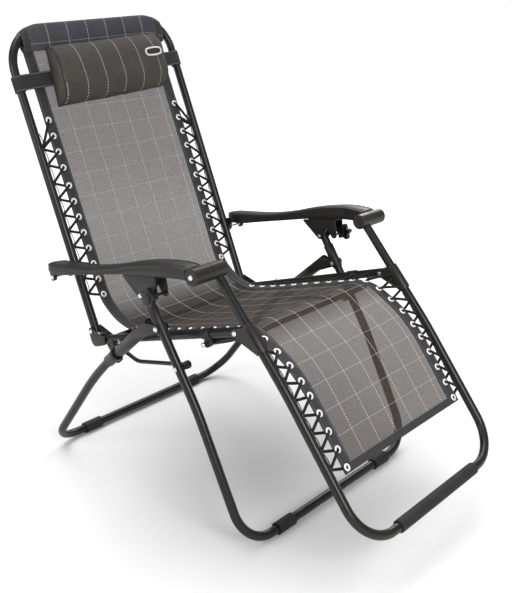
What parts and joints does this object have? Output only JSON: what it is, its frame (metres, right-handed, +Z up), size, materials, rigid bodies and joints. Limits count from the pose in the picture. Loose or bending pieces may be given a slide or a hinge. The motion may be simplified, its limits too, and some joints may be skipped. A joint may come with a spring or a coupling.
{
  "type": "zero gravity recliner",
  "caption": "Folding zero gravity recliner: bent steel tube frame with laced mesh sling, headrest pillow, curved armrests with locking knobs, fold links and rubber feet.",
  "frame": {"origin": "On the floor, at the centre of the chair's bounding box, in the upright open position.", "axes": "+Z up, +Y towards the chair's back (the chair faces -Y), +X towards the sitter's left."},
  "size_m": [0.736, 1.1953, 1.1188],
  "materials": {
    "frame": "dark anthracite-brown powder coat, satin",
    "bracket": "brown-grey cast and stamped brackets, satin",
    "plastic": "black moulded plastic",
    "armrest": "brown-grey moulded plastic, satin",
    "pad": "dark grey ridged soft-touch plastic",
    "bolt": "bright zinc-plated rivet and bolt heads",
    "rubber": "black ribbed rubber",
    "foam": "black foam grip",
    "sling": "grey-brown woven vinyl mesh with a fine pale window-pane stripe",
    "cushion": "dark brown-grey woven cover with pale pinstripes, padded",
    "webbing": "black woven elastic webbing"
  },
  "bodies": {
    "front_leg": {"front_leg_tube": "frame", "leg_pivot_sleeve_left": "plastic", "leg_pivot_sleeve_right": "plastic", "front_foot_left": "rubber", "front_foot_right": "rubber", "leg_pivot_bolt_left": "bolt", "leg_pivot_bolt_right": "bolt", "link_pivot_bolt_left": "bolt", "link_pivot_bolt_right": "bolt"},
    "rear_leg": {"rear_leg_tube": "frame", "rear_leg_gusset_left": "bracket", "rear_leg_gusset_right": "bracket", "rear_foot_left": "rubber", "rear_foot_right": "rubber"},
    "collar_left": {"sliding_collar_left": "bracket"},
    "collar_right": {"sliding_collar_right": "bracket"},
    "link_left": {"fold_link_left": "plastic"},
    "link_right": {"fold_link_right": "plastic"},
    "seat": {"seat_rail_left": "frame", "seat_rail_right": "frame", "seat_elbow_left": "bracket", "seat_elbow_right": "bracket", "seat_pivot_bolt_left": "bolt", "seat_pivot_bolt_right": "bolt", "rear_cross_tube": "frame", "front_spreader_bar": "frame", "spreader_hanger_left": "bracket", "spreader_hanger_right": "bracket", "sling_seat": "sling"},
    "back_bolts": {"back_pivot_bolt_left": "bolt", "back_pivot_bolt_right": "bolt"},
    "back": {"back_frame_tube": "frame", "sling_back": "sling", "sling_top_sleeve": "sling"},
    "headrest": {"pillow": "cushion", "pillow_strap_left": "webbing", "pillow_strap_right": "webbing"},
    "leg_frame_bolts": {"leg_frame_bolt_left": "bolt", "leg_frame_bolt_right": "bolt"},
    "leg_frame": {"leg_frame_tube": "frame", "leg_frame_gusset_left": "bracket", "leg_frame_gusset_right": "bracket", "arm_barrel_left": "plastic", "arm_barrel_right": "plastic", "foot_bar_cover": "foam", "sling_leg": "sling"},
    "arm_bolt_left": {"arm_pivot_bolt_left": "bolt"},
    "armrest_left": {"armrest_base_left": "armrest", "armrest_pad_left": "pad", "armrest_rear_bolt_left": "bolt"},
    "lock_bolt_left": {"lock_pivot_bolt_left": "bolt"},
    "lock_left": {"lock_bracket_left": "plastic"},
    "knob_left": {"lock_knob_left": "plastic"},
    "arm_bolt_right": {"arm_pivot_bolt_right": "bolt"},
    "armrest_right": {"armrest_base_right": "armrest", "armrest_pad_right": "pad", "armrest_rear_bolt_right": "bolt"},
    "lock_bolt_right": {"lock_pivot_bolt_right": "bolt"},
    "lock_right": {"lock_bracket_right": "plastic"},
    "knob_right": {"lock_knob_right": "plastic"}
  },
  "joints": [
    {"name": "fold", "type": "hinge", "parent": "front_leg", "child": "link_left", "pos_m": [0.2985, -0.0894, 0.397], "axis": [-1, 0, 0], "range_deg": [0, 92]},
    {"name": "rear_leg_fold", "type": "hinge", "parent": "front_leg", "child": "rear_leg", "pos_m": [0, -0.0349, 0.481], "axis": [-1, 0, 0], "range_deg": [0, 70.38]},
    {"name": "link_right_fold", "type": "hinge", "parent": "front_leg", "child": "link_right", "pos_m": [-0.2985, -0.0894, 0.397], "axis": [-1, 0, 0], "range_deg": [0, 92.15]},
    {"name": "collar_slide_left", "type": "hinge", "parent": "rear_leg", "child": "collar_left", "pos_m": [0.325, -0.46911, -0.34032], "axis": [-1, 0, 0], "range_deg": [0, 7.78]},
    {"name": "collar_slide_right", "type": "hinge", "parent": "rear_leg", "child": "collar_right", "pos_m": [-0.325, -0.46911, -0.34032], "axis": [-1, 0, 0], "range_deg": [0, 7.78]},
    {"name": "recline", "type": "hinge", "parent": "link_left", "child": "seat", "pos_m": [0, 0.1711, 0.377], "axis": [-1, 0, 0], "range_deg": [0, 13.4]},
    {"name": "back_fold", "type": "hinge", "parent": "seat", "child": "back_bolts", "pos_m": [0, 0.2771, 0.374], "axis": [-1, 0, 0], "range_deg": [-82.95, 0]},
    {"name": "back_recline", "type": "hinge", "parent": "back_bolts", "child": "back", "pos_m": [0, 0.2771, 0.374], "axis": [-1, 0, 0], "range_deg": [0, 30.7]},
    {"name": "leg_frame_fold", "type": "hinge", "parent": "seat", "child": "leg_frame_bolts", "pos_m": [0, -0.2279, 0.508], "axis": [-1, 0, 0], "range_deg": [-93.99, 0]},
    {"name": "leg_frame_recline", "type": "hinge", "parent": "leg_frame_bolts", "child": "leg_frame", "pos_m": [0, -0.2279, 0.508], "axis": [-1, 0, 0], "range_deg": [0, 37.06]},
    {"name": "headrest_slide", "type": "slide", "parent": "back", "child": "headrest", "axis": [0, -0.3866, -0.9223], "range_m": [0, 0.25]},
    {"name": "armrest_fold_left", "type": "hinge", "parent": "leg_frame", "child": "arm_bolt_left", "pos_m": [0.325, -0.1579, 0.632], "axis": [-1, 0, 0], "range_deg": [0, 94.36]},
    {"name": "armrest_recline_left", "type": "hinge", "parent": "arm_bolt_left", "child": "armrest_left", "pos_m": [0.325, -0.1579, 0.632], "axis": [-1, 0, 0], "range_deg": [-38.51, 0]},
    {"name": "lock_fold_left", "type": "hinge", "parent": "front_leg", "child": "lock_bolt_left", "pos_m": [0.325, 0.0106, 0.551], "axis": [-1, 0, 0], "range_deg": [0, 92.52]},
    {"name": "lock_recline_left", "type": "hinge", "parent": "lock_bolt_left", "child": "lock_left", "pos_m": [0.325, 0.0106, 0.551], "axis": [-1, 0, 0], "range_deg": [0, 12.1]},
    {"name": "clamp_knob_left", "type": "hinge", "parent": "lock_left", "child": "knob_left", "pos_m": [0.356, -0.0369, 0.562], "axis": [1, 0, 0], "range_deg": [-360, 360]},
    {"name": "armrest_fold_right", "type": "hinge", "parent": "leg_frame", "child": "arm_bolt_right", "pos_m": [-0.325, -0.1579, 0.632], "axis": [-1, 0, 0], "range_deg": [0, 94.36]},
    {"name": "armrest_recline_right", "type": "hinge", "parent": "arm_bolt_right", "child": "armrest_right", "pos_m": [-0.325, -0.1579, 0.632], "axis": [-1, 0, 0], "range_deg": [-38.51, 0]},
    {"name": "lock_fold_right", "type": "hinge", "parent": "front_leg", "child": "lock_bolt_right", "pos_m": [-0.325, 0.0106, 0.551], "axis": [-1, 0, 0], "range_deg": [0, 92.52]},
    {"name": "lock_recline_right", "type": "hinge", "parent": "lock_bolt_right", "child": "lock_right", "pos_m": [-0.325, 0.0106, 0.551], "axis": [-1, 0, 0], "range_deg": [0, 12.1]},
    {"name": "clamp_knob_right", "type": "hinge", "parent": "lock_right", "child": "knob_right", "pos_m": [-0.356, -0.0369, 0.562], "axis": [1, 0, 0], "range_deg": [-360, 360]}
  ],
  "couplings": [
    {"joint": "rear_leg_fold", "follows": "fold", "ratio": 0.7634},
    {"joint": "link_right_fold", "follows": "fold", "ratio": 1},
    {"joint": "collar_slide_left", "follows": "fold", "ratio": 0.0829},
    {"joint": "collar_slide_right", "follows": "fold", "ratio": 0.0829},
    {"joint": "back_fold", "follows": "fold", "ratio": -0.9},
    {"joint": "back_recline", "follows": "recline", "ratio": 2.28},
    {"joint": "leg_frame_fold", "follows": "fold", "ratio": -1.02},
    {"joint": "leg_frame_recline", "follows": "recline", "ratio": 2.7545},
    {"joint": "armrest_fold_left", "follows": "fold", "ratio": 1.024},
    {"joint": "armrest_recline_left", "follows": "recline", "ratio": -2.863},
    {"joint": "lock_fold_left", "follows": "fold", "ratio": 1.004},
    {"joint": "lock_recline_left", "follows": "recline", "ratio": 0.8915},
    {"joint": "armrest_fold_right", "follows": "fold", "ratio": 1.024},
    {"joint": "armrest_recline_right", "follows": "recline", "ratio": -2.863},
    {"joint": "lock_fold_right", "follows": "fold", "ratio": 1.004},
    {"joint": "lock_recline_right", "follows": "recline", "ratio": 0.8915}
  ]
}
